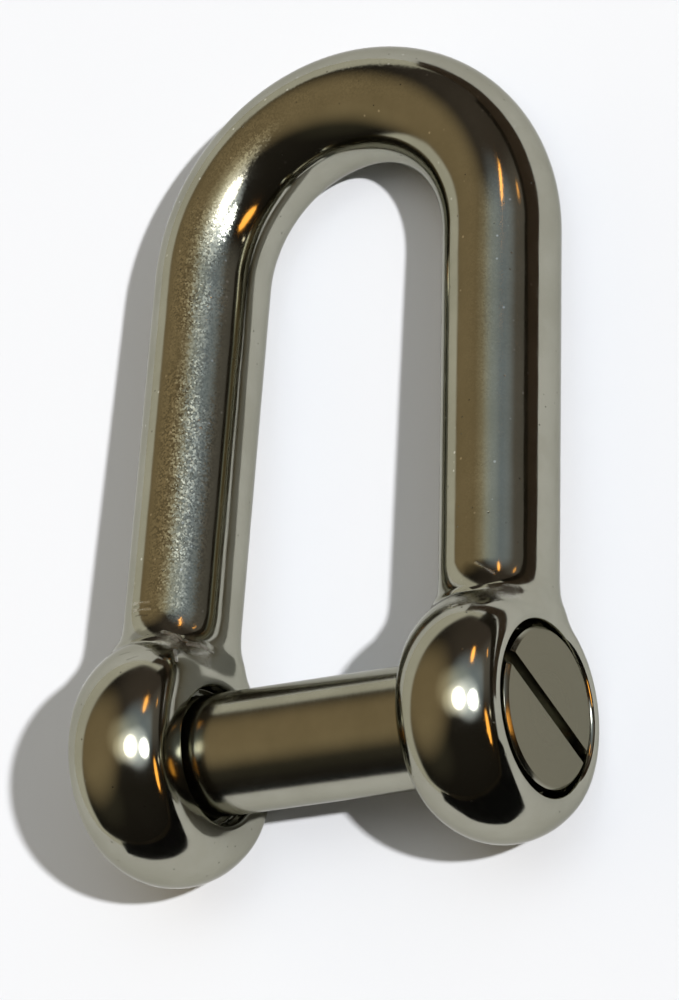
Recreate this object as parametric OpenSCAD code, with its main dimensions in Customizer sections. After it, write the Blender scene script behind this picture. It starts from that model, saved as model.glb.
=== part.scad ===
// Chain joining shackle: a forged long D bow with ball-shaped ears, and a flush slotted screw pin.
// X runs along the pin towards its head, Y along the legs towards the crown, and Z is up.
// The shackle lies on its side as it comes to rest, and the origin is on the pin axis, midway between the ears.

/* [Bow] */
// Diameter of the round bar
bar_d = 9.7; // [8.5:0.1:10.5]
// Clear width between the ears, at the pin
gap_w = 21.1; // [18:0.1:28]
// Clear width where the legs run into the crown
crown_w = 18.3; // [15:0.1:21]
// From the pin axis to the inside of the crown
inside_len = 49.8; // [40:0.1:80]

/* [Ears] */
// Diameter across an ear
ear_d = 20.6; // [20:0.1:24]
// Thickness of an ear between its flat faces
ear_t = 9.9; // [9.6:0.1:10.8]
// Radius of the rounding over the rim of an ear
rim_r = 6.2; // [5.8:0.1:7]
// Radius that softens the edge of an ear's flat face
face_edge_r = 1.6; // [1:0.1:2]
// Radius of the hollow in the neck between a leg and its ear
neck_r = 4.7; // [3.5:0.1:8]

/* [Pin] */
// Diameter of the plain shank
shank_d = 10; // [9:0.1:10.4]
// Pitch diameter of the thread, modelled as a smooth cylinder
thread_d = 9; // [7.5:0.1:9.2]
// Diameter of the flush head
head_d = 13; // [12.6:0.1:13.6]
// Thickness of the head
head_t = 2.8; // [2:0.1:3.6]
// Width of the screwdriver slot
slot_w = 1.2; // [0.8:0.1:2]
// Depth of the screwdriver slot
slot_depth = 1.3; // [0.6:0.1:1.6]
// Turn of the slot away from the legs
slot_turn = 67; // [0:1:180]

/* [Fits] */
// Play all round between the shank and its hole
shank_play = 0.65; // [0.6:0.05:0.8]
// Play all round between the thread and its hole
thread_play = 0.1; // [0.05:0.01:0.15]
// Gap all round between the head and its recess
head_play = 0.45; // [0.3:0.05:0.5]
// How far the head lies below the face of its ear
head_sink = 0.2; // [0:0.05:0.5]
// How far the pin stops short of the outer face of the threaded ear
tip_sink = 0.5; // [0:0.1:1.5]
// How far the shank runs into the threaded ear
shank_entry = 1.1; // [0.5:0.1:2]

/* [Edges] */
// Chamfer at the rims of the holes and on the end of the thread
hole_chamfer = 0.4; // [0.2:0.1:0.6]
// Chamfer round the face of the head
head_chamfer = 0.3; // [0.1:0.05:0.5]

/* [Hidden] */
$fn = 96;
steel = [0.72, 0.71, 0.68];
turned_steel = [0.66, 0.66, 0.64];
// How far one shape runs past another that it joins or cuts
lap = 1;
// How far the flat web of a neck lies below the round of the bar, so that the bar's round shows
web_sink = 0.05;
// How far the tubes of a neck end below the rim of the ear
neck_sink = 0.02;
// How many degrees the crown's arc runs past the plane of symmetry before it is trimmed there
apex_lap = 5;

bar_r = bar_d / 2;
ear_r = ear_d / 2;
shank_r = shank_d / 2;
thread_r = thread_d / 2;
head_r = head_d / 2;

// Planes along the pin axis
ear_inner = gap_w / 2;
ear_outer = ear_inner + ear_t;
ear_mid = ear_inner + ear_t / 2;
head_face = ear_outer - head_sink;
head_seat = head_face - head_t;
thread_start = -(ear_inner + shank_entry);
pin_tip = -(ear_outer - tip_sink);

// Crown arc, and the lean of the legs that run into it
crown_r = crown_w / 2 + bar_r;
crown_y = inside_len - crown_w / 2;
lean = acos(crown_r / norm([ear_mid, crown_y])) - atan2(crown_y, ear_mid);
leg_len = ear_mid * sin(lean) + crown_y * cos(lean);

// Rim of an ear, and the round that softens its flat face
rim_mid = ear_r - rim_r;
edge_z = ear_t / 2 - face_edge_r;
edge_turn = asin(edge_z / (rim_r - face_edge_r));
face_r = rim_mid + (rim_r - face_edge_r) * cos(edge_turn);

// Centre line of a neck: an arc that leaves the leg and meets a circle inside the ear
neck_ring = ear_r - bar_r - neck_sink;
neck_arc = neck_r + bar_r;
neck_y = sqrt(pow(neck_arc + neck_ring, 2) - pow(neck_arc, 2));
neck_turn = atan2(neck_y, neck_arc);

// Lying on its side, the shackle rests on its two ears and on the outside of the crown
rest_tilt = asin((ear_r - bar_r) / (crown_y + crown_r));

// Lays a shape down on its side, as the shackle comes to rest.
module lying() {
    rotate([-rest_tilt, 0, 0]) children();
}

// Turns an upright shape so that its own axis points along the pin.
module along_pin() {
    rotate([90, 0, 90]) children();
}

// A cylinder on the pin axis between two planes.
module pin_cylinder(from_x, to_x, r) {
    translate([from_x, 0, 0]) along_pin() cylinder(h = to_x - from_x, r = r);
}

// A cone on the pin axis between two planes.
module pin_cone(from_x, to_x, from_r, to_r) {
    translate([from_x, 0, 0]) along_pin() cylinder(h = to_x - from_x, r1 = from_r, r2 = to_r);
}

// A leg and its half of the crown, with Y along the leg from the middle of the ear.
module leg() {
    rotate([-90, 0, 0]) cylinder(h = leg_len, r = bar_r);
    translate([-crown_r, leg_len, 0])
        rotate_extrude(angle = 90 - lean + apex_lap) translate([crown_r, 0]) circle(r = bar_r);
}

// Half section of an ear: a round rim, soft edges and flat faces.
module ear_section() {
    translate([0, -ear_t / 2]) square([face_r, ear_t]);
    for (side = [-1, 1])
        translate([face_r, side * edge_z]) circle(r = face_edge_r);
    intersection() {
        translate([rim_mid, 0]) circle(r = rim_r);
        polygon([
            [rim_mid, 0],
            [rim_mid + ear_d * cos(edge_turn), -ear_d * sin(edge_turn)],
            [rim_mid + ear_d * cos(edge_turn), ear_d * sin(edge_turn)]
        ]);
    }
}

module ear() {
    along_pin() rotate_extrude() ear_section();
}

// The hollow flare from a leg to its ear: a bent bar on each side, and the web between them.
module neck() {
    for (side = [0, 1])
        mirror([0, 0, side]) translate([0, neck_y, neck_arc]) along_pin()
            rotate_extrude(start = 270 - neck_turn, angle = neck_turn) translate([neck_arc, 0]) circle(r = bar_r);
    web_t = bar_d - 2 * web_sink;
    foot = neck_ring / (neck_ring + neck_arc);
    translate([-web_t / 2, 0, 0]) along_pin() linear_extrude(height = web_t)
        difference() {
            polygon([
                [0, 0],
                [foot * neck_y, -foot * neck_arc],
                [neck_y, 0],
                [foot * neck_y, foot * neck_arc]
            ]);
            for (side = [-1, 1])
                translate([neck_y, side * neck_arc]) circle(r = neck_arc);
        }
}

// The half of the bow on the head's side, trimmed at the plane of symmetry.
module half_bow() {
    reach = 2 * inside_len;
    difference() {
        translate([ear_mid, 0, 0]) {
            ear();
            rotate([0, 0, lean]) {
                leg();
                neck();
            }
        }
        translate([-reach, -reach, -reach]) cube([reach, 2 * reach, 2 * reach]);
    }
}

// What is drilled, recessed and countersunk in the head's ear.
module head_hole() {
    hole_r = shank_r + shank_play;
    pin_cylinder(ear_inner - lap, ear_outer, hole_r);
    pin_cone(ear_inner - lap, ear_inner + hole_chamfer, hole_r + hole_chamfer + lap, hole_r);
    pin_cylinder(head_seat, ear_outer + lap, head_r + head_play);
}

// What is drilled and countersunk in the threaded ear.
module thread_hole() {
    entry_r = shank_r + shank_play;
    hole_r = thread_r + thread_play;
    entry_end = thread_start - hole_chamfer;
    pin_cylinder(-ear_outer - lap, -ear_inner, hole_r);
    pin_cylinder(entry_end, -ear_inner + lap, entry_r);
    pin_cone(entry_end - (entry_r - hole_r), entry_end, hole_r, entry_r);
    pin_cone(-ear_outer - lap, -ear_outer + hole_chamfer, hole_r + hole_chamfer + lap, hole_r);
}

module bow() {
    color(steel) lying() difference() {
        union() {
            half_bow();
            mirror([1, 0, 0]) half_bow();
        }
        head_hole();
        thread_hole();
    }
}

// Half section of the pin along its axis, from the tip to the face of the head.
module pin_section() {
    shoulder = shank_r - thread_r;
    polygon([
        [0, pin_tip],
        [thread_r - hole_chamfer, pin_tip],
        [thread_r, pin_tip + hole_chamfer],
        [thread_r, thread_start - shoulder],
        [shank_r, thread_start],
        [shank_r, head_seat],
        [head_r, head_seat],
        [head_r, head_face - head_chamfer],
        [head_r - head_chamfer, head_face],
        [0, head_face]
    ]);
}

module pin() {
    color(turned_steel) lying() difference() {
        along_pin() rotate_extrude() pin_section();
        rotate([slot_turn, 0, 0]) translate([head_face - slot_depth, -head_r - lap, -slot_w / 2])
            cube([slot_depth + lap, head_d + 2 * lap, slot_w]);
    }
}

bow();
pin();
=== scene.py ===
"""Looks of a chain joining shackle: a polished forged bow and its turned, slotted screw pin."""
import math

import bmesh
import bpy
import numpy as np
from mathutils import Matrix, Vector


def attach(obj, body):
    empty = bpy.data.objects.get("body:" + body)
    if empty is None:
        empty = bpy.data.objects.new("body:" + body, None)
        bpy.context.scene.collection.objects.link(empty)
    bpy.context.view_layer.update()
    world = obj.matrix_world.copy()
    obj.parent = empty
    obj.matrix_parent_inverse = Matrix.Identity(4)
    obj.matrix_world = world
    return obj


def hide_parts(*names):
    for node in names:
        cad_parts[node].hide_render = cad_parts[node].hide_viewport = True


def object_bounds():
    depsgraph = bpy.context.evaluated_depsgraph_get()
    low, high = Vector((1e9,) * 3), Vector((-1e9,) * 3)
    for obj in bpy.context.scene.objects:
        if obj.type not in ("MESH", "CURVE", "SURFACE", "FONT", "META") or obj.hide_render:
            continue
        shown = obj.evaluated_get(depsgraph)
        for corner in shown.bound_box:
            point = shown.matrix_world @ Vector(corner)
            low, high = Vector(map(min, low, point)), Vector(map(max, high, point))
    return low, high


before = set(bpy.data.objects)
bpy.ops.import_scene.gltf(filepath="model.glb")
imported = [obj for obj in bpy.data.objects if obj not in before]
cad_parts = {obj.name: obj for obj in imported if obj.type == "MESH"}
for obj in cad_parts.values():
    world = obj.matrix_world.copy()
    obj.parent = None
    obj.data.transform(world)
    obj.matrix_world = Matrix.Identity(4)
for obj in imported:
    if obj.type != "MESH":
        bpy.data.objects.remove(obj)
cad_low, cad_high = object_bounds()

# Forms are worked out in millimetres and handed to Blender in metres
MM = 0.001

# Bow, as the solids have it
BAR_R = 4.85
EAR_MID = 15.5
EAR_R = 10.3
EAR_HALF = 4.95
RIM_R = 6.2
NECK_R = 4.7
CROWN_R = 14.0
CROWN_Y = 40.65

# Holes in the ears
HOLE_R = 5.65
TAPPED_R = 4.6
RECESS_R = 6.95
SEAT_X = 17.45
ENTRY_X = -12.05

# Pin
SHANK_R = 5.0
THREAD_R = 4.5
HEAD_R = 6.5
TIP_X = -19.95
THREAD_X = -11.65
FACE_X = 20.25
TIP_CHAMFER = 0.4
HEAD_CHAMFER = 0.3
SLOT_W = 1.2
SLOT_DEPTH = 1.3
SLOT_TURN = math.radians(67)

# Coarse thread: how far its crests stand above and its roots lie below the plain cylinder
THREAD_PITCH = 1.5
THREAD_WAVE = 0.3

# Derived from the sizes above
REST_TILT = math.asin((EAR_R - BAR_R) / (CROWN_Y + CROWN_R))
LEAN = math.acos(CROWN_R / math.hypot(EAR_MID, CROWN_Y)) - math.atan2(CROWN_Y, EAR_MID)
LEG_LEN = EAR_MID * math.sin(LEAN) + CROWN_Y * math.cos(LEAN)
NECK_RING = EAR_R - BAR_R
NECK_ARC = NECK_R + BAR_R
NECK_Y = math.sqrt((NECK_ARC + NECK_RING) ** 2 - NECK_ARC ** 2)
RIM_MID = EAR_R - RIM_R
THREAD_END_X = THREAD_X - (SHANK_R - THREAD_R)
TIP_R = THREAD_R - TIP_CHAMFER - THREAD_WAVE

# Camera of the photograph, which is 679 by 1000 pixels; its azimuth is measured from -Y towards +X
PHOTO_W = 679
PHOTO_H = 1000
FOCAL_PX = 7124.67
CAMERA_AZIMUTH = math.radians(64.141)
CAMERA_ELEVATION = math.radians(55.004)
CAMERA_ROLL = math.radians(-68.733)
CAMERA_DISTANCE = 579.0
CAMERA_TARGET = np.array([-1.442, 20.747, -3.651])

# Edge of an even face of the bow's mesh, before it is refined at edges and scars
VOXEL = 0.42


def camera_axes():
    """Right, up and back of the camera, as unit vectors."""
    az, el, roll = CAMERA_AZIMUTH, CAMERA_ELEVATION, CAMERA_ROLL
    back = np.array([math.sin(az) * math.cos(el), -math.cos(az) * math.cos(el), math.sin(el)])
    level = np.array([math.cos(az), math.sin(az), 0.0])
    steep = np.cross(back, level)
    right = math.cos(roll) * level + math.sin(roll) * steep
    up = -math.sin(roll) * level + math.cos(roll) * steep
    return right, up, back


def add_camera():
    right, up, back = camera_axes()
    data = bpy.data.cameras.new("photo_camera")
    data.sensor_width = 36.0
    data.lens = FOCAL_PX * data.sensor_width / PHOTO_H
    data.clip_start = 0.01
    data.clip_end = 20.0
    camera = bpy.data.objects.new("photo_camera", data)
    place = (CAMERA_TARGET + CAMERA_DISTANCE * back) * MM
    camera.matrix_world = Matrix([
        (right[0], up[0], back[0], place[0]),
        (right[1], up[1], back[1], place[1]),
        (right[2], up[2], back[2], place[2]),
        (0, 0, 0, 1),
    ])
    bpy.context.scene.collection.objects.link(camera)
    bpy.context.scene.camera = camera


# The bow's form, as distances in millimetres

def turned(p, angle):
    """Points turned about the pin axis."""
    c, s = math.cos(angle), math.sin(angle)
    return np.stack([p[:, 0], p[:, 1] * c - p[:, 2] * s, p[:, 1] * s + p[:, 2] * c], -1)


def fade(value, low, high):
    """0 up to low, 1 from high on, and smooth between."""
    t = np.clip((value - low) / (high - low), 0, 1)
    return t * t * (3 - 2 * t)


def smooth_min(a, b, k):
    h = np.clip(0.5 + 0.5 * (b - a) / k, 0, 1)
    return b + (a - b) * h - k * h * (1 - h)


def smooth_max(a, b, k):
    return -smooth_min(-a, -b, k)


# How softly the round rim of an ear runs into its flat faces
FACE_EDGE = 1.1


def ear_distance(across, ring):
    """across is measured from the ear's middle plane, ring from the pin axis."""
    rim = np.hypot(np.maximum(ring - RIM_MID, 0), across) - RIM_R
    return smooth_max(rim, np.abs(across) - EAR_HALF, FACE_EDGE)


# Where along a leg, from the pin axis, the bar has ended inside the ear and where it is whole, and how far
# it sinks at its end
BAR_BEGINS = (5.5, 9.0)
BAR_SINKS = 2.0

# How softly the bar runs into the ear at its flanks, where the two are tangent, and in front, and how far
# across the bar the one gives way to the other
FLANK_BLEND = 0.1
FRONT_BLEND = 1.4
BLEND_ACROSS = (0.8, 4.0)


def body_distance(x, y, z):
    """Ears, hollow necks, legs and crown, for points on the side of positive x."""
    c, s = math.cos(LEAN), math.sin(LEAN)
    across = (x - EAR_MID) * c + y * s
    along = (EAR_MID - x) * s + y * c
    height = np.abs(z)
    disc = np.hypot(along, height) - NECK_RING
    hollow = NECK_ARC - np.hypot(along - NECK_Y, height - NECK_ARC)
    in_disc = np.arctan2(height, along) > math.atan2(NECK_ARC, NECK_Y)
    spread = np.where(along > NECK_Y, height, np.where(in_disc, disc, hollow))
    leg = np.hypot(np.maximum(spread, 0), across)
    crown = np.hypot(np.hypot(x, y - CROWN_Y) - CROWN_R, z)
    bar = np.where(along > LEG_LEN, crown, leg) - BAR_R
    bar = bar + BAR_SINKS * (1 - fade(along, *BAR_BEGINS))
    blend = FLANK_BLEND + (FRONT_BLEND - FLANK_BLEND) * fade(np.abs(across), *BLEND_ACROSS)
    return smooth_min(ear_distance(x - EAR_MID, np.hypot(y, z)), bar, blend)


def thread_wave(x, y, z):
    """Rise and fall of a right-hand thread on the pin axis, from -1 to 1."""
    phase = x / THREAD_PITCH - np.arctan2(z, y) / (2 * math.pi)
    return 4 * np.abs(phase - np.floor(phase) - 0.5) - 1


def hole_distance(x, y, z):
    """What is drilled, recessed and tapped in the two ears."""
    ring = np.hypot(y, z)
    recess = np.maximum(ring - RECESS_R, SEAT_X - x)
    head_side = np.minimum(ring - HOLE_R, recess)
    entry = np.maximum(ring - HOLE_R, ENTRY_X - x)
    tapped = ring - TAPPED_R - THREAD_WAVE * thread_wave(x, y, z)
    mouth = ring - TAPPED_R - THREAD_WAVE - (TIP_X - x)
    thread_side = np.minimum(np.minimum(tapped, mouth), entry)
    return np.where(x > 0, head_side, thread_side)


# How far the form stays inside the solids
INSET = 0.008

# How round the edges of the holes are, in the ear with the head and in the threaded ear
HEAD_HOLE_EDGE = 1.0
THREAD_HOLE_EDGE = 0.5


def plain_bow_distance(p):
    """The bow without the scars at its necks."""
    q = turned(p, REST_TILT)
    x, y, z = q[:, 0], q[:, 1], q[:, 2]
    edge = np.where(x > 0, HEAD_HOLE_EDGE, THREAD_HOLE_EDGE)
    return smooth_max(body_distance(np.abs(x), y, z), -hole_distance(x, y, z), edge) + INSET


def gradient(distance, p):
    """Direction in which a distance grows fastest, as unit vectors."""
    step = 0.004
    out = np.empty_like(p)
    for axis in range(3):
        move = np.zeros(3)
        move[axis] = step
        out[:, axis] = distance(p + move) - distance(p - move)
    return out / np.maximum(np.linalg.norm(out, axis=1, keepdims=True), 1e-9)


# Steps along a ray until it meets the bow, and the share of the distance to the bow that one step takes
RAY_STEPS = 80
RAY_CAUTION = 0.9


def seen_on_bow(pixel):
    """Point of the bow that the photograph shows at a pixel."""
    right, up, back = camera_axes()
    across = (pixel[0] - PHOTO_W / 2) / FOCAL_PX
    above = (PHOTO_H / 2 - pixel[1]) / FOCAL_PX
    ray = across * right + above * up - back
    ray = ray / np.linalg.norm(ray)
    point = (CAMERA_TARGET + CAMERA_DISTANCE * back)[None]
    for _ in range(RAY_STEPS):
        point = point + RAY_CAUTION * plain_bow_distance(point)[:, None] * ray
    return point[0]


# Scars that grinding left at the necks: pixels of the photograph that a stroke runs through, its half width
# and how far it stands above the round, in millimetres, how bare it is, and how much painted shade it
# carries.
# A stroke below the round is a groove, whose darkness is painted shade; two broad strokes are painted shade
# alone, and the last two are broad ground patches.
STROKES = [
    ([(163, 632), (176, 635), (182, 640), (197, 645), (213, 653)], 0.15, 0.004, 1.0, 0.0),
    ([(188, 644), (200, 645), (207, 649)], 0.22, 0.004, 1.0, 0.0),
    ([(172, 636), (178, 641)], 0.20, 0.004, 1.0, 0.0),
    ([(175, 650), (176, 661)], 0.13, 0.004, 1.0, 0.0),
    ([(147, 650), (170, 650), (189, 649)], 0.07, -0.003, 0.0, 0.8),
    ([(173, 644), (187, 654)], 0.09, -0.003, 0.0, 0.8),
    ([(176, 655), (183, 645)], 0.08, -0.003, 0.0, 0.7),
    ([(188, 650), (196, 652)], 0.10, -0.003, 0.0, 0.7),
    ([(134, 604), (149, 602)], 0.09, -0.008, 0.8, 0.0),
    ([(134, 607), (151, 606)], 0.07, -0.008, 0.0, 0.6),
    ([(134, 611), (150, 609)], 0.10, -0.008, 0.8, 0.0),
    ([(136, 616), (147, 615)], 0.08, -0.008, 0.0, 0.6),
    ([(138, 635), (156, 634)], 0.72, 0.0, 0.0, 0.65),
    ([(120, 655), (130, 652)], 0.07, -0.003, 0.0, 0.6),
    ([(127, 660), (138, 656)], 0.06, -0.003, 0.0, 0.5),
    ([(470, 570), (479, 575), (488, 577)], 0.62, 0.0, 0.0, 0.7),
    ([(475, 562), (494, 573)], 0.13, 0.0, 0.8, 0.0),
    ([(453, 606), (456, 605)], 0.16, 0.020, 1.0, 0.0),
    ([(160, 642), (180, 645), (206, 654)], 0.95, 0.0, 0.42, 0.0),
    ([(446, 604), (468, 598), (508, 592)], 0.85, 0.0, 0.36, 0.0),
]

# How far from a stroke it has died away, in half widths
STROKE_REACH = 3.0

# Waves that make a stroke's edges ragged: how fast they turn along each axis, in radians to the millimetre,
# and how much of the width they add and take
RAGGED_WAVES = [((2.1, 1.3, -1.9), 0.25), ((4.7, -3.3, 3.9), 0.15)]


def near_line(p, line):
    """Distance from points to a line of several stretches."""
    best = np.full(len(p), 1e9)
    for a, b in zip(line[:-1], line[1:]):
        span = b - a
        t = np.clip((p - a) @ span / (span @ span), 0, 1)
        best = np.minimum(best, np.linalg.norm(p - a - t[:, None] * span, axis=1))
    return best


stroke_lines = [np.array([seen_on_bow(pixel) for pixel in stroke[0]]) for stroke in STROKES]


def around_line(p, line, reach):
    """Which points lie in the box that a line and its reach fill."""
    return np.all((p > line.min(0) - reach) & (p < line.max(0) + reach), axis=1)


def scar_fields(p):
    """How far the strokes stand above the plain form, how bare they leave it, and how much painted shade they
    lay on it.
    """
    rise, bare, painted_shade = np.zeros((3, len(p)))
    for line, (_, width, height, bareness, painted_darkness) in zip(stroke_lines, STROKES):
        near = around_line(p, line, STROKE_REACH * width)
        q = p[near]
        ragged = 1 + sum(depth * np.sin(q @ pace) for pace, depth in RAGGED_WAVES)
        share = np.exp(-(near_line(q, line) / (width * ragged)) ** 4)
        rise[near] += height * share
        bare[near] = np.maximum(bare[near], bareness * share)
        painted_shade[near] = np.maximum(painted_shade[near], painted_darkness * share)
    return rise, bare, painted_shade


def bow_distance(p):
    """The bow with its scars."""
    return plain_bow_distance(p) - scar_fields(p)[0]


# Meshes

def settle(distance, p, rounds=5):
    """Moves points along the slope of a distance until they lie on its surface."""
    for _ in range(rounds):
        p = p - gradient(distance, p) * distance(p)[:, None]
    return p


def coordinates(mesh):
    co = np.empty(len(mesh.vertices) * 3, np.float32)
    mesh.vertices.foreach_get("co", co)
    return co.reshape(-1, 3).astype(float)


def put_coordinates(mesh, co):
    mesh.vertices.foreach_set("co", co.astype(np.float32).ravel())
    mesh.update()


def applied(mesh, kind, **settings):
    """A new mesh: the given one with one modifier applied."""
    carrier = bpy.data.objects.new("carrier", mesh)
    bpy.context.scene.collection.objects.link(carrier)
    modifier = carrier.modifiers.new(kind, kind)
    for key, value in settings.items():
        setattr(modifier, key, value)
    graph = bpy.context.evaluated_depsgraph_get()
    made = bpy.data.meshes.new_from_object(carrier.evaluated_get(graph))
    bpy.data.objects.remove(carrier)
    return made


def refine(mesh, wanted):
    """Splits the edges whose two ends are both wanted."""
    bm = bmesh.new()
    bm.from_mesh(mesh)
    edges = [e for e in bm.edges if wanted[e.verts[0].index] and wanted[e.verts[1].index]]
    bmesh.ops.subdivide_edges(bm, edges=edges, cuts=1, use_grid_fill=True)
    bm.to_mesh(mesh)
    bm.free()


def near_hole_edge(p, reach):
    """True near where a hole breaks through the outside of an ear."""
    q = turned(p, REST_TILT)
    x, y, z = q[:, 0], q[:, 1], q[:, 2]
    outside = np.abs(body_distance(np.abs(x), y, z)) < reach
    return outside & (np.abs(hole_distance(x, y, z)) < reach)


def in_tapped_hole(p):
    q = turned(p, REST_TILT)
    return (q[:, 0] < ENTRY_X) & (np.hypot(q[:, 1], q[:, 2]) < TAPPED_R + 2 * THREAD_WAVE)


def near_scar(p, reach):
    near = np.zeros(len(p), bool)
    for line in stroke_lines:
        box = around_line(p, line, reach)
        near[box] |= near_line(p[box], line) < reach
    return near


def piece_from(mesh, name):
    """A piece of the scene from a mesh in millimetres."""
    mesh.transform(Matrix.Scale(MM, 4))
    mesh.materials.clear()
    mesh.name = name
    piece = bpy.data.objects.new(name, mesh)
    bpy.context.scene.collection.objects.link(piece)
    return piece


# How far from a hole's edge and from a scar the bow's mesh is refined, the first time and the second
HOLE_REFINED = (1.2, 0.8)
SCAR_REFINED = (1.6, 0.8)


def make_bow():
    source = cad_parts["bow"].data.copy()
    source.transform(Matrix.Scale(1 / MM, 4))
    mesh = applied(source, "REMESH", mode="VOXEL", voxel_size=VOXEL)
    bpy.data.meshes.remove(source)
    co = settle(plain_bow_distance, coordinates(mesh))
    put_coordinates(mesh, co)
    refine(mesh, near_hole_edge(co, HOLE_REFINED[0]) | near_scar(co, SCAR_REFINED[0]) | in_tapped_hole(co))
    co = settle(bow_distance, coordinates(mesh), rounds=3)
    put_coordinates(mesh, co)
    refine(mesh, near_hole_edge(co, HOLE_REFINED[1]) | near_scar(co, SCAR_REFINED[1]))
    co = settle(bow_distance, coordinates(mesh), rounds=3)
    put_coordinates(mesh, co)
    # The scars' attributes: how bare they are, and the painted shade they carry
    for name, values in zip(("bare", "painted_shade"), scar_fields(co)[1:]):
        attribute = mesh.attributes.new(name, "FLOAT", "POINT")
        attribute.data.foreach_set("value", values.astype(np.float32))
    mesh.polygons.foreach_set("use_smooth", np.ones(len(mesh.polygons), bool))
    mesh.normals_split_custom_set_from_vertices(gradient(bow_distance, co))
    return piece_from(mesh, "bow_forging")


# The pin's mesh: its sides, how far apart its rings are along the thread, how many there are along the shank,
# and the points in which an edge of the head is rounded
PIN_SIDES = 160
THREAD_RING = 0.1
SHANK_RINGS = 30
EDGE_POINTS = 4

# How far the thread takes to run out towards the shank
THREAD_RUN_OUT = 1.2

# How round the head's edges are, and how far the slot's edges are bevelled
HEAD_EDGE = 0.08
SLOT_BEVEL = 0.07

# Edges of the slot are sharper than the first angle, and the pin is shaded smooth up to the second
SLOT_EDGE_ANGLE = math.radians(50)
SMOOTH_ANGLE = math.radians(28)


def pin_stations():
    """Places along the pin axis with the radius there, from the tip to the edge of the head's face."""
    stations = [(TIP_X, TIP_R)]
    for x in np.arange(TIP_X + THREAD_RING / 2, THREAD_END_X, THREAD_RING):
        stations.append((x, THREAD_R))
    stations.append((THREAD_END_X, THREAD_R))
    stations.append((THREAD_X, SHANK_R))
    for x in np.linspace(THREAD_X + THREAD_RING, SEAT_X - THREAD_RING, SHANK_RINGS):
        stations.append((x, SHANK_R))
    stations.append((SEAT_X, SHANK_R))
    stations.append((SEAT_X, HEAD_R - HEAD_EDGE))
    stations.append((SEAT_X + HEAD_EDGE, HEAD_R))
    # The chamfer's two corners become arcs that leave along one side and end along the other
    back = HEAD_EDGE * math.tan(math.pi / 8)
    corners = [(FACE_X - HEAD_CHAMFER, HEAD_R), (FACE_X, HEAD_R - HEAD_CHAMFER)]
    for turn, (x, r) in zip((0, math.pi / 4), corners):
        middle_x = x - back * math.cos(turn) - HEAD_EDGE * math.sin(turn)
        middle_r = r + back * math.sin(turn) - HEAD_EDGE * math.cos(turn)
        for step in np.linspace(0, 1, EDGE_POINTS):
            a = turn + step * math.pi / 4
            stations.append((middle_x + HEAD_EDGE * math.sin(a), middle_r + HEAD_EDGE * math.cos(a)))
    return stations


def turned_pin():
    """The pin as it comes from the lathe, with its thread and without its slot."""
    around = np.linspace(0, 2 * math.pi, PIN_SIDES, endpoint=False)
    y, z = np.cos(around), np.sin(around)
    bm = bmesh.new()
    rings = []
    for x, r in pin_stations():
        radius = np.full(PIN_SIDES, r)
        if TIP_X < x < THREAD_END_X:
            cut = fade(x, THREAD_END_X, THREAD_END_X - THREAD_RUN_OUT)
            radius = r + THREAD_WAVE * (cut * (thread_wave(x, y, z) + 1) - 1)
            radius = np.minimum(radius, TIP_R + (x - TIP_X))
        rings.append([bm.verts.new((x, radius[i] * y[i], radius[i] * z[i])) for i in range(PIN_SIDES)])
    for low, high in zip(rings[:-1], rings[1:]):
        for i in range(PIN_SIDES):
            j = (i + 1) % PIN_SIDES
            bm.faces.new((low[i], low[j], high[j], high[i]))
    bm.faces.new(list(reversed(rings[0])))
    bm.faces.new(rings[-1])
    bmesh.ops.recalc_face_normals(bm, faces=bm.faces)
    mesh = bpy.data.meshes.new("pin_plain")
    bm.to_mesh(mesh)
    bm.free()
    return mesh


def slot_cutter():
    """A block where the slot is, which stands past the head all round."""
    mesh = bpy.data.meshes.new("slot_cutter")
    bm = bmesh.new()
    bmesh.ops.create_cube(bm, size=1.0)
    bm.to_mesh(mesh)
    bm.free()
    cutter = bpy.data.objects.new("slot_cutter", mesh)
    bpy.context.scene.collection.objects.link(cutter)
    lap = 1.0
    size = Matrix.Diagonal((SLOT_DEPTH + lap, 2 * HEAD_R + 2 * lap, SLOT_W, 1))
    place = Matrix.Translation((FACE_X + (lap - SLOT_DEPTH) / 2, 0, 0))
    cutter.matrix_world = Matrix.Rotation(SLOT_TURN, 4, "X") @ place @ size
    bpy.context.view_layer.update()
    return cutter


def bevel_slot(mesh):
    bm = bmesh.new()
    bm.from_mesh(mesh)
    slack = 0.01
    slot_floor = FACE_X - SLOT_DEPTH - slack
    sharp = [
        e for e in bm.edges
        if e.is_manifold and min(v.co.x for v in e.verts) > slot_floor
        and e.calc_face_angle() > SLOT_EDGE_ANGLE
    ]
    bmesh.ops.bevel(bm, geom=sharp, offset=SLOT_BEVEL, segments=2, profile=0.5, affect="EDGES",
                    clamp_overlap=True)
    bm.to_mesh(mesh)
    bm.free()


def make_pin():
    plain = turned_pin()
    cutter = slot_cutter()
    mesh = applied(plain, "BOOLEAN", operation="DIFFERENCE", solver="EXACT", object=cutter)
    bpy.data.objects.remove(cutter)
    bpy.data.meshes.remove(plain)
    bevel_slot(mesh)
    mesh.polygons.foreach_set("use_smooth", np.ones(len(mesh.polygons), bool))
    mesh.set_sharp_from_angle(angle=SMOOTH_ANGLE)
    mesh.transform(Matrix.Rotation(-REST_TILT, 4, "X"))
    return piece_from(mesh, "screw_pin")


def direction(azimuth, elevation):
    """Azimuth is measured from +Y towards +X, in degrees."""
    a, e = math.radians(azimuth), math.radians(elevation)
    return (math.sin(a) * math.cos(e), math.cos(a) * math.cos(e), math.sin(e))


# Materials

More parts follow.
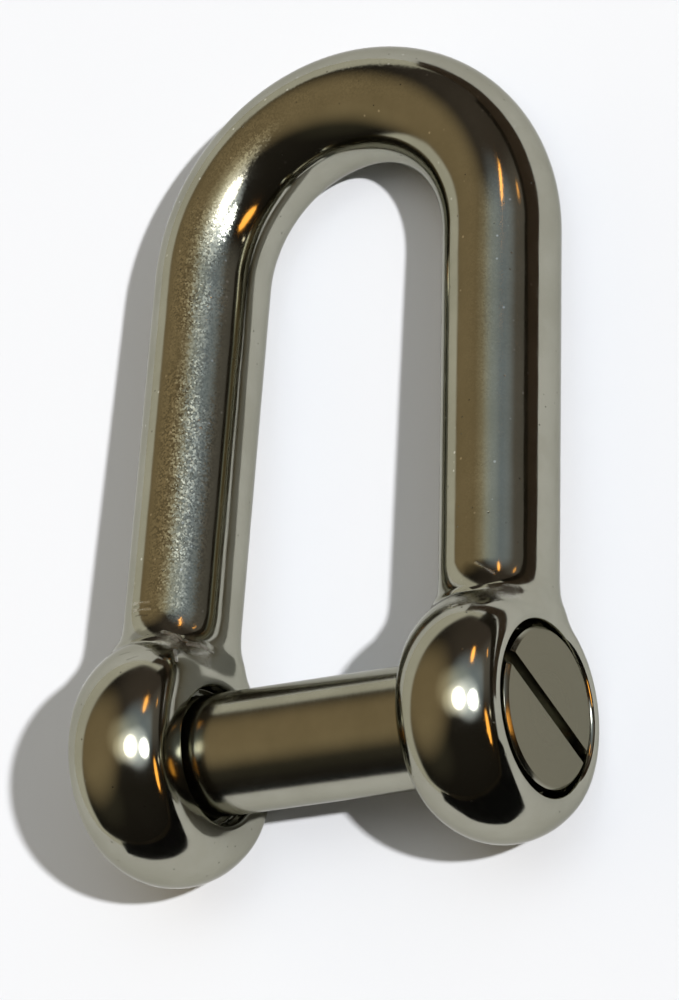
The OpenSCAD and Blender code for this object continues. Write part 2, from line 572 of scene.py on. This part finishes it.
class Shader:
    """Short calls for the nodes of one material or world."""

    def __init__(self, tree):
        self.nodes = tree.nodes
        self.links = tree.links

    def node(self, kind, **settings):
        made = self.nodes.new(kind)
        for key, value in settings.items():
            setattr(made, key, value)
        return made

    def put(self, socket, value):
        if isinstance(value, bpy.types.NodeSocket):
            self.links.new(value, socket)
        else:
            socket.default_value = value

    def math(self, operation, a, b=0.0):
        made = self.node("ShaderNodeMath", operation=operation)
        self.put(made.inputs[0], a)
        self.put(made.inputs[1], b)
        return made.outputs[0]

    def product(self, *factors):
        total = factors[0]
        for factor in factors[1:]:
            total = self.math("MULTIPLY", total, factor)
        return total

    def axes(self, vector):
        made = self.node("ShaderNodeSeparateXYZ")
        self.put(made.inputs[0], vector)
        return made.outputs

    def vector(self, operation, a, b):
        made = self.node("ShaderNodeVectorMath", operation=operation)
        self.put(made.inputs[0], a)
        self.put(made.inputs[1], b)
        return made.outputs["Value" if operation == "DOT_PRODUCT" else "Vector"]

    def ramp(self, value, low, high, to_low=0.0, to_high=1.0):
        made = self.node("ShaderNodeMapRange", interpolation_type="SMOOTHSTEP")
        self.put(made.inputs["Value"], value)
        made.inputs["From Min"].default_value = low
        made.inputs["From Max"].default_value = high
        made.inputs["To Min"].default_value = to_low
        made.inputs["To Max"].default_value = to_high
        return made.outputs["Result"]

    def mix(self, factor, a, b):
        made = self.node("ShaderNodeMix", data_type="RGBA")
        self.put(made.inputs["Factor"], factor)
        colours = [socket for socket in made.inputs if socket.type == "RGBA"]
        self.put(colours[0], a)
        self.put(colours[1], b)
        return [socket for socket in made.outputs if socket.type == "RGBA"][0]

    def noise(self, where, scale, detail=2.0, roughness=0.5):
        made = self.node("ShaderNodeTexNoise")
        self.put(made.inputs["Vector"], where)
        made.inputs["Scale"].default_value = scale
        made.inputs["Detail"].default_value = detail
        made.inputs["Roughness"].default_value = roughness
        return made.outputs["Fac"]

    def cells(self, where, scale):
        """Distance to the nearest of scattered points, and a chance number and colour for each."""
        made = self.node("ShaderNodeTexVoronoi")
        self.put(made.inputs["Vector"], where)
        made.inputs["Scale"].default_value = scale
        split = self.node("ShaderNodeSeparateColor")
        self.links.new(made.outputs["Color"], split.inputs["Color"])
        return made.outputs["Distance"], split.outputs["Red"], made.outputs["Color"]

    def dots(self, where, scale, size, chance):
        """1 in scattered dots, 0 between them, and smooth at their edges."""
        distance, number, _ = self.cells(where, scale)
        return self.product(self.ramp(distance, *size), self.ramp(number, *chance))

    def bump(self, height, distance, strength, normal=None):
        made = self.node("ShaderNodeBump")
        self.put(made.inputs["Height"], height)
        made.inputs["Distance"].default_value = distance
        made.inputs["Strength"].default_value = strength
        if normal is not None:
            self.put(made.inputs["Normal"], normal)
        return made.outputs["Normal"]


# Colours of the steel: where it is darker and where it is paler, at a glancing angle, in pits and in the
# painted shade of grooves and patches at the necks, where it was ground bare and in the specks, which are
# painted glints, and on the face of the pin's head, which is painted shade for a dimmer reflection
STEEL_DARKER = (0.318, 0.310, 0.250, 1)
STEEL_PALER = (0.36, 0.352, 0.290, 1)
STEEL_GLANCING = (0.60, 0.595, 0.56, 1)
STEEL_PITTED_AND_SHADED = (0.12, 0.115, 0.090, 1)
STEEL_BARE_AND_GLINT = (0.60, 0.59, 0.54, 1)
STEEL_HEAD_FACE_PAINTED_SHADE = (0.172, 0.160, 0.114, 1)

# How many cells or waves of each pattern go to a metre, on the bow and on the pin
MOTTLE_SCALE = 170
PATCH_SCALE = 150
POLISH_SCALE = 420
WAVE_SCALE = 240
PIT_SCALE = 1500
GLINT_SPECK_SCALE = 1350
GRAIN_SCALE = 7000
BARE_SCALE = 3000
SCAR_SCALE = 3600
PIN_MOTTLE_SCALE = 220
TURNING_SCALE = 5200

# Values of a noise between which bare steel and coarse patches come in
NOISE_MIDDLE = (0.34, 0.56)

# Pits and specks, the specks being painted glints: how far from its middle one has ended and is whole, in
# cells, and the chance numbers from which it is drawn
PIT_SIZE = (0.16, 0.05)
PIT_CHANCE = (0.84, 0.86)
GLINT_SPECK_SIZE = (0.20, 0.08)
GLINT_SPECK_CHANCE = (0.80, 0.82)

# Where the bow's steel changes, in metres: from the ears to the bar and from the crown to the legs along Y,
# and from the leg of the head's ear to the other one along X
EARS_TO_BAR = (0.007, 0.016)
CROWN_TO_LEGS = (0.050, 0.038)
LEG_TO_LEG = (0.016, -0.012)

# The bar's coarse part, which faces the lamps: where it faces and how squarely, how much of it is left on the
# crown, on the leg of the head's ear and between its patches, how much darker and paler its grains are
# painted as painted sparkle, and how far they lean
COARSE_TOWARDS = (70, 66)
COARSE_FACING = (0.82, 0.94)
CROWN_SHARE = 0.45
HEAD_LEG_SHARE = 0.12
PATCH_SHARE = 0.35
GRAIN_PAINTED_SPARKLE = (-0.34, 0.42)
GRAIN_LEAN = 0.15

# How squarely the bar has to face up for the specks, which are painted glints, to come in
GLINT_SPECK_FACING = (0.35, 0.55)

# Roughness, and how much pits, scars and the face of the head add to it
BOW_ROUGHNESS = (0.08, 0.13)
PIT_ROUGHNESS = 0.20
SCAR_ROUGHNESS = 0.30
PIN_ROUGHNESS = (0.13, 0.20)
FACE_ROUGHNESS = 0.08

# Bumps: height in metres and strength
WAVE_BUMP = (0.00006, 0.5)
PIT_BUMP = (0.00001, 0.7)
SCAR_BUMP = (0.00005, 0.8)
MOTTLE_BUMP = (0.00003, 0.4)
TURNING_BUMP = (0.000004, 0.6)

# How far below the face of the head its finish and its painted shade begin and are whole
FACE_BAND = (0.35, 0.05)


def steel(name):
    """A plain metal material, its shader node and short calls for its nodes."""
    material = bpy.data.materials.new(name)
    material.use_nodes = True
    shader = material.node_tree.nodes["Principled BSDF"]
    shader.inputs["Metallic"].default_value = 1.0
    shader.inputs["Specular Tint"].default_value = STEEL_GLANCING
    return material, shader, Shader(material.node_tree)


def bow_steel():
    material, shader, s = steel("bow_steel")
    texture = s.node("ShaderNodeTexCoord")
    where = texture.outputs["Object"]
    normal = texture.outputs["Normal"]
    place = s.axes(where)
    scar = s.node("ShaderNodeAttribute", attribute_name="bare").outputs["Fac"]
    # Painted shade from the strokes: darker grooves and neck patches
    painted_shade = s.node("ShaderNodeAttribute", attribute_name="painted_shade").outputs["Fac"]

    # The bar was left coarser than the ears, most of all the leg of the threaded ear, and where it faces the
    # lamps its grains lean and carry painted sparkle
    on_bar = s.ramp(place["Y"], *EARS_TO_BAR)
    off_crown = s.ramp(place["Y"], *CROWN_TO_LEGS, to_low=CROWN_SHARE)
    to_side = s.ramp(place["X"], *LEG_TO_LEG, to_low=HEAD_LEG_SHARE)
    patches = s.ramp(s.noise(where, PATCH_SCALE, 3, 0.6), *NOISE_MIDDLE, to_low=PATCH_SHARE)
    upper = s.ramp(s.vector("DOT_PRODUCT", normal, direction(*COARSE_TOWARDS)), *COARSE_FACING)
    coarse_and_sparkle = s.product(on_bar, to_side, upper, patches, off_crown)
    _, chance, grain = s.cells(where, GRAIN_SCALE)

    # Mottled steel with painted sparkle, pits and painted shade in it, bare scars and painted glints on top
    mottle = s.noise(where, MOTTLE_SCALE, 4, 0.6)
    clean = s.mix(s.ramp(mottle, 0.35, 0.7), STEEL_DARKER, STEEL_PALER)
    # Painted sparkle: grains drawn darker and paler where the bar faces the lamps
    shade = s.math("ADD", 1.0, s.product(coarse_and_sparkle, s.ramp(chance, 0.0, 1.0, *GRAIN_PAINTED_SPARKLE)))
    clean = s.vector("MULTIPLY", clean, shade)
    pit = s.dots(where, PIT_SCALE, PIT_SIZE, PIT_CHANCE)
    pitted = s.mix(s.math("MAXIMUM", pit, painted_shade), clean, STEEL_PITTED_AND_SHADED)
    bare = s.product(scar, s.ramp(s.noise(where, BARE_SCALE, 2, 0.6), *NOISE_MIDDLE))
    # Pale specks where the bar faces up are painted glints of the lamps above
    faces_up = s.ramp(s.vector("DOT_PRODUCT", normal, (0, 0, 1)), *GLINT_SPECK_FACING)
    painted_glint = s.product(s.dots(where, GLINT_SPECK_SCALE, GLINT_SPECK_SIZE, GLINT_SPECK_CHANCE), on_bar, faces_up)
    s.put(shader.inputs["Base Color"], s.mix(s.math("MAXIMUM", bare, painted_glint), pitted, STEEL_BARE_AND_GLINT))

    polish = s.ramp(s.noise(where, POLISH_SCALE, 3, 0.6), 0.3, 0.75, *BOW_ROUGHNESS)
    rough = s.math("ADD", polish, s.product(pit, PIT_ROUGHNESS))
    s.put(shader.inputs["Roughness"], s.math("ADD", rough, s.product(scar, SCAR_ROUGHNESS)))

    wavy = s.bump(s.noise(where, WAVE_SCALE, 1, 0.4), *WAVE_BUMP)
    lean = s.vector("SUBTRACT", grain, (0.5, 0.5, 0.5))
    lean = s.vector("MULTIPLY", lean, s.product(coarse_and_sparkle, GRAIN_LEAN))
    grained = s.vector("NORMALIZE", s.vector("ADD", wavy, lean), (0, 0, 0))
    pocked = s.bump(s.math("SUBTRACT", 1.0, pit), *PIT_BUMP, grained)
    scarred = s.bump(s.product(scar, s.noise(where, SCAR_SCALE, 3, 0.7)), *SCAR_BUMP, pocked)
    s.put(shader.inputs["Normal"], scarred)
    return material


def pin_steel():
    material, shader, s = steel("pin_steel")
    where = s.node("ShaderNodeTexCoord").outputs["Object"]
    along = s.axes(where)["X"]
    from_axis = s.node("ShaderNodeVectorMath", operation="LENGTH")
    s.put(from_axis.inputs[0], s.vector("MULTIPLY", where, (0, 1, 1)))
    # The marks of turning are the same all round the axis
    ring = s.node("ShaderNodeCombineXYZ")
    s.put(ring.inputs["X"], along)
    s.put(ring.inputs["Y"], from_axis.outputs["Value"])
    turning = s.noise(ring.outputs["Vector"], TURNING_SCALE, 3, 0.7)
    mottle = s.noise(where, PIN_MOTTLE_SCALE, 4, 0.6)
    face_begins, face_whole = ((FACE_X - depth) * MM for depth in FACE_BAND)
    face = s.ramp(along, face_begins, face_whole)

    clean = s.mix(s.ramp(mottle, 0.3, 0.7), STEEL_DARKER, STEEL_PALER)
    # The face of the head is painted darker: painted shade that stands in for a dimmer reflection
    s.put(shader.inputs["Base Color"], s.mix(face, clean, STEEL_HEAD_FACE_PAINTED_SHADE))
    rough = s.ramp(turning, 0.3, 0.7, *PIN_ROUGHNESS)
    s.put(shader.inputs["Roughness"], s.math("ADD", rough, s.product(face, FACE_ROUGHNESS)))
    wavy = s.bump(mottle, *MOTTLE_BUMP)
    s.put(shader.inputs["Normal"], s.bump(turning, *TURNING_BUMP, wavy))
    return material


# Light and ground

# Broad glows of the room: direction, angles within which one is full and beyond which it is gone, and colour
GLOWS = [
    ((0, 90), (0, 180), (0.030, 0.026, 0.021)),
    ((30, 20), (20, 60), (0.065, 0.052, 0.043)),
    ((-76, 49), (14, 50), (0.35, 0.263, 0.143)),
    ((40, 74), (8, 26), (0.23, 0.225, 0.17)),
    ((58, 58), (8, 34), (0.24, 0.315, 0.395)),
    ((72, 76), (6, 19), (0.80, 0.78, 0.74)),
    ((82, 64), (5, 22), (0.90, 0.97, 1.06)),
    ((62, 20), (8, 30), (0.10, 0.10, 0.095)),
    ((-128, 42), (8, 34), (0.03, 0.028, 0.018)),
    ((-10, 76), (6, 22), (0.24, 0.22, 0.16)),
    ((30, 87), (0, 16), (0.50, 0.48, 0.40)),
]

# Pale wall: the side of the room that it faces away from, how far round from there it begins, and its colour
WALL_FACING = (116, 55)
WALL_BEGINS = (100, 105)
WALL_COLOUR = (0.84, 0.82, 0.72)

# How high a pale strip runs round the rest of the room at the horizon, in degrees, and how soft its edge is
HORIZON_ELEVATION = 4.5
HORIZON_EDGE = 0.02


def add_world():
    world = bpy.data.worlds.new("studio")
    bpy.context.scene.world = world
    world.use_nodes = True
    world.node_tree.nodes.clear()
    s = Shader(world.node_tree)
    ray = s.node("ShaderNodeTexCoord").outputs["Generated"]
    total = None
    for towards, (full, none), colour in GLOWS:
        near = s.vector("DOT_PRODUCT", ray, direction(*towards))
        share = s.ramp(near, math.cos(math.radians(none)), math.cos(math.radians(full)))
        glow = s.vector("MULTIPLY", share, colour)
        total = glow if total is None else s.vector("ADD", total, glow)
    none, full = (math.cos(math.radians(angle)) for angle in WALL_BEGINS)
    wall = s.ramp(s.vector("DOT_PRODUCT", ray, direction(*WALL_FACING)), none, full)
    height = s.vector("DOT_PRODUCT", ray, (0, 0, 1))
    top = math.sin(math.radians(HORIZON_ELEVATION))
    strip = s.ramp(height, top + HORIZON_EDGE, top)
    room = s.mix(s.math("MAXIMUM", wall, strip), total, (*WALL_COLOUR, 1))
    back = s.node("ShaderNodeBackground")
    s.links.new(room, back.inputs["Color"])
    out = s.node("ShaderNodeOutputWorld")
    s.links.new(back.outputs["Background"], out.inputs["Surface"])


# Lamps for the steel to reflect, which give the floor no light: direction, width and height as seen from the
# object, turn, all in degrees, colour and brightness
LAMP_DISTANCE = 0.6
WARM = (1.0, 0.43, 0.07)
PALE = (1.0, 0.90, 0.72)
COOL = (0.93, 0.97, 1.0)
PALE_WHITE = (1.0, 0.97, 0.91)
LAMPS = [
    ((73, 75), (20, 20), 0, PALE_WHITE, 3.4),
    ((33, 38), (15, 4), -58, WARM, 4.5),
    ((50, 17), (7, 2.5), 0, WARM, 2.6),
    ((106, 26), (24, 11), 22, WARM, 4.0),
    ((91, 13), (3, 3), 0, PALE, 4.0),
    ((85, 55), (17, 15), 0, COOL, 7.0),
]


def add_lamps():
    for number, (towards, (width, height), turn, colour, brightness) in enumerate(LAMPS):
        data = bpy.data.lights.new("lamp", "AREA")
        data.shape = "ELLIPSE"
        data.size = 2 * LAMP_DISTANCE * math.tan(math.radians(width) / 2)
        data.size_y = 2 * LAMP_DISTANCE * math.tan(math.radians(height) / 2)
        data.energy = brightness * math.pi * math.pi / 4 * data.size * data.size_y
        data.color = colour
        lamp = bpy.data.objects.new(f"lamp_{number}", data)
        outward = Vector(direction(*towards))
        facing = outward.to_track_quat("Z", "Y").to_matrix().to_4x4()
        turned_round = Matrix.Rotation(math.radians(turn), 4, "Z")
        lamp.matrix_world = Matrix.Translation(outward * LAMP_DISTANCE) @ facing @ turned_round
        lamp.visible_diffuse = False
        bpy.context.scene.collection.objects.link(lamp)


# Key light: its direction and how wide it looks, in degrees, its colour and its strength
KEY_TOWARDS = (98, 44.7)
KEY_WIDTH = 1.6
KEY_COLOUR = (1.0, 0.975, 0.948)
KEY_STRENGTH = 3.5


def add_key():
    """The light that casts the shadow; the steel shows the cool lamp in its place."""
    data = bpy.data.lights.new("key", "SUN")
    data.energy = KEY_STRENGTH
    data.angle = math.radians(KEY_WIDTH)
    data.color = KEY_COLOUR
    lamp = bpy.data.objects.new("key", data)
    lamp.rotation_euler = Vector(direction(*KEY_TOWARDS)).to_track_quat("Z", "Y").to_euler()
    lamp.visible_glossy = False
    bpy.context.scene.collection.objects.link(lamp)


def matt(name, colour):
    """A matt material of one colour, for what isn't part of the object."""
    material = bpy.data.materials.new(name)
    material.use_nodes = True
    shader = material.node_tree.nodes["Principled BSDF"]
    shader.inputs["Base Color"].default_value = (*colour, 1)
    shader.inputs["Roughness"].default_value = 0.9
    shader.inputs["Specular IOR Level"].default_value = 0.0
    return material


def staged(name, corners, faces, material):
    """A mesh of the stage, from its corners in metres."""
    mesh = bpy.data.meshes.new(name)
    mesh.from_pydata(corners, [], faces)
    piece = bpy.data.objects.new(name, mesh)
    bpy.context.scene.collection.objects.link(piece)
    mesh.materials.append(material)
    return piece


# Floor: half its side, in metres, and its colour
FLOOR_HALF = 3.0
FLOOR_COLOUR = (0.83, 0.86, 0.92)

# Low dark cards that stand round the near side for the steel alone to reflect: name, colour, then azimuths in
# degrees, and how far from the pin and how high a card is there, in millimetres. A card is drawn in steps of
# some degrees.
CARDS = [
    ("card_black", (0.012, 0.012, 0.013),
     [100, 110, 130, 151, 159, 171, 182, 191, 205, 214, 220],
     [85, 62, 40, 33, 34, 37, 42, 50, 78, 112, 146],
     [8, 8, 8, 8, 8, 8, 8, 9, 13, 16, 16]),
    ("card_brown", (0.11, 0.08, 0.06),
     [-4, 10, 22, 33, 50, 60, 72, 84],
     [140, 100, 81, 68, 58, 55, 62, 80],
     [8, 3, 2, 1, 1, 2, 4, 6]),
    ("card_far", (0.036, 0.029, 0.021), [12, 213], [230, 230], [38, 38]),
]
CARD_STEP = 3


def add_ground():
    z = cad_low.z
    h = FLOOR_HALF
    staged("floor", [(-h, -h, z), (h, -h, z), (h, h, z), (-h, h, z)], [(0, 1, 2, 3)],
           matt("floor_pale", FLOOR_COLOUR))
    for name, colour, azimuths, distances, tops in CARDS:
        corners = []
        for azimuth in range(azimuths[0], azimuths[-1] + 1, CARD_STEP):
            distance = np.interp(azimuth, azimuths, distances) * MM
            top = np.interp(azimuth, azimuths, tops) * MM
            x, y, _ = direction(azimuth, 0)
            corners.append((x * distance, y * distance, z))
            corners.append((x * distance, y * distance, top))
        faces = [(i, i + 2, i + 3, i + 1) for i in range(0, len(corners) - 2, 2)]
        card = staged(name, corners, faces, matt(name, colour))
        card.visible_camera = False
        card.visible_diffuse = False
        card.visible_shadow = False


add_camera()

bow = make_bow()
bow.data.materials.append(bow_steel())
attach(bow, "bow")
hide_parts("bow")

pin = make_pin()
pin.data.materials.append(pin_steel())
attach(pin, "pin")
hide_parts("pin")

add_world()
add_lamps()
add_key()
add_ground()
bpy.context.scene.view_settings.view_transform = "Standard"
